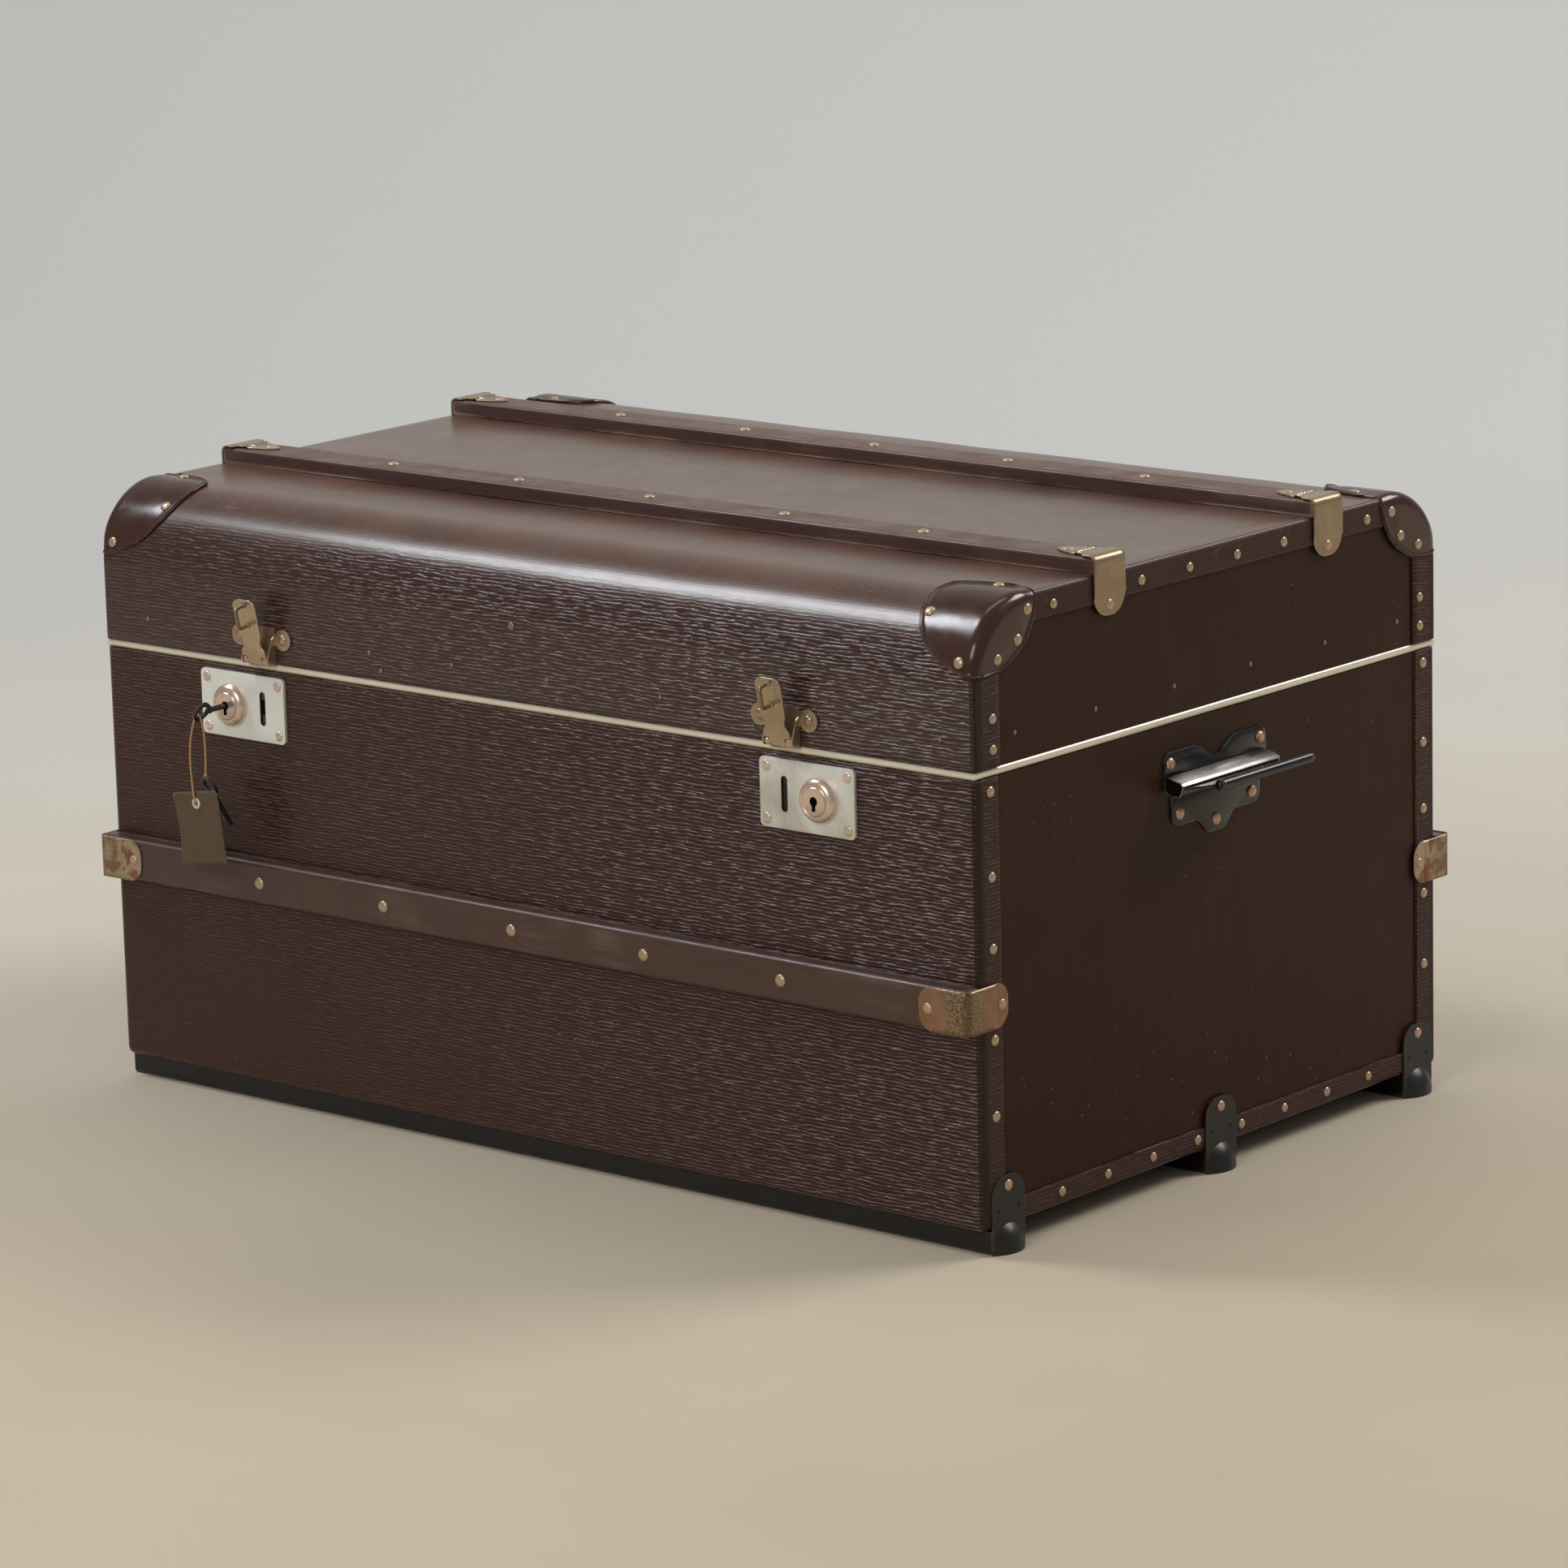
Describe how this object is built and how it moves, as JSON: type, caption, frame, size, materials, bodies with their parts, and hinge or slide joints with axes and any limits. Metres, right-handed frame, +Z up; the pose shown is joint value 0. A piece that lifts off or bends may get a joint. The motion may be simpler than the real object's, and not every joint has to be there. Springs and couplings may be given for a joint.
{
  "type": "travelling trunk",
  "caption": "Closed travelling trunk of brown fibre over board on battens, with slatted lid, hinged hasps over slotted locks, folding end grips, and a key with a hanging tag.",
  "frame": {"origin": "middle of the sole of the middle batten, on the floor under the centre of the trunk", "axes": "+X to the right along the front, +Y to the back, +Z up"},
  "size_m": [1.001, 0.6479, 0.5042],
  "materials": {
    "black_batten": "gloss",
    "black_enamel": "gloss",
    "black_steel": "satin",
    "brown_fibre": "satin",
    "copper_boss": "worn",
    "corner_cap": "gloss",
    "dark_key": "satin",
    "end_fibre": "satin",
    "lining_board": "matte",
    "pale_bead": "satin",
    "slat_wood": "satin",
    "tag_card": "matte",
    "tan_string": "matte",
    "worn_brass": "worn",
    "worn_nickel": "worn"
  },
  "bodies": {
    "base": {"base_end_left": "end_fibre", "base_end_right": "end_fibre", "base_liner": "lining_board", "base_lip": "lining_board", "base_wrap": "brown_fibre", "batten_front": "black_batten", "batten_middle": "black_batten", "batten_rear": "black_batten", "foot_caps": "black_steel", "handle_backplate_left": "black_enamel", "handle_backplate_right": "black_enamel", "handle_plate_left": "black_enamel", "handle_plate_right": "black_enamel", "hinge_base_leaf_left": "black_steel", "hinge_base_leaf_right": "black_steel", "lock_bosses": "copper_boss", "lock_case_left": "worn_nickel", "lock_case_right": "worn_nickel", "lock_plate_left": "worn_nickel", "lock_plate_right": "worn_nickel", "rail_clips": "worn_nickel", "rail_front": "slat_wood", "rail_rear": "slat_wood"},
    "lid": {"hasp_bracket_left": "worn_nickel", "hasp_bracket_right": "worn_nickel", "hinge_lid_leaf_left": "black_steel", "hinge_lid_leaf_right": "black_steel", "lid_bead": "pale_bead", "lid_caps_front": "corner_cap", "lid_caps_rear": "corner_cap", "lid_end_left": "end_fibre", "lid_end_right": "end_fibre", "lid_liner": "lining_board", "lid_wrap": "brown_fibre", "slat_clips": "worn_brass", "slat_front": "slat_wood", "slat_rear": "slat_wood"},
    "hasp_left": {"hasp_left": "worn_nickel"},
    "hasp_right": {"hasp_right": "worn_nickel"},
    "grip_left": {"grip_left": "black_enamel"},
    "grip_right": {"grip_right": "black_enamel"},
    "key": {"key": "dark_key"},
    "tag_set": {"key_string": "tan_string", "tag": "tag_card", "spare_key": "dark_key"},
    "bolt_left": {"lock_bolt_left": "worn_nickel"},
    "bolt_right": {"lock_bolt_right": "worn_nickel"}
  },
  "joints": [
    {"name": "lid_hinge", "type": "hinge", "parent": "base", "child": "lid", "pos_m": [0, 0.299, 0.3635], "axis": [-1, 0, 0], "range_deg": [0, 100]},
    {"name": "hasp_left_hinge", "type": "hinge", "parent": "lid", "child": "hasp_left", "pos_m": [-0.271, -0.2994, 0.3695], "axis": [1, 0, 0], "range_deg": [-8, 168]},
    {"name": "hasp_right_hinge", "type": "hinge", "parent": "lid", "child": "hasp_right", "pos_m": [0.271, -0.2994, 0.3695], "axis": [1, 0, 0], "range_deg": [-8, 168]},
    {"name": "grip_left_hinge", "type": "hinge", "parent": "base", "child": "grip_left", "pos_m": [-0.4585, 0, 0.311], "axis": [0, -1, 0], "range_deg": [0, 103]},
    {"name": "grip_right_hinge", "type": "hinge", "parent": "base", "child": "grip_right", "pos_m": [0.4585, 0, 0.311], "axis": [0, 1, 0], "range_deg": [0, 103]},
    {"name": "key_turn", "type": "hinge", "parent": "base", "child": "key", "pos_m": [-0.3055, -0.33, 0.3295], "axis": [0, -1, 0], "range_deg": [0, 90]},
    {"name": "tag_level", "type": "hinge", "parent": "key", "child": "tag_set", "pos_m": [-0.30929, -0.33, 0.32344], "axis": [0, -1, 0], "range_deg": [-90, 0]},
    {"name": "bolt_left_slide", "type": "slide", "parent": "base", "child": "bolt_left", "axis": [1, 0, 0], "range_m": [0, 0.0075]},
    {"name": "bolt_right_slide", "type": "slide", "parent": "base", "child": "bolt_right", "axis": [-1, 0, 0], "range_m": [0, 0.0075]}
  ],
  "couplings": [
    {"joint": "key_turn", "follows": "bolt_left_slide", "rad_per_m": 209.4},
    {"joint": "tag_level", "follows": "bolt_left_slide", "rad_per_m": -209.4}
  ]
}
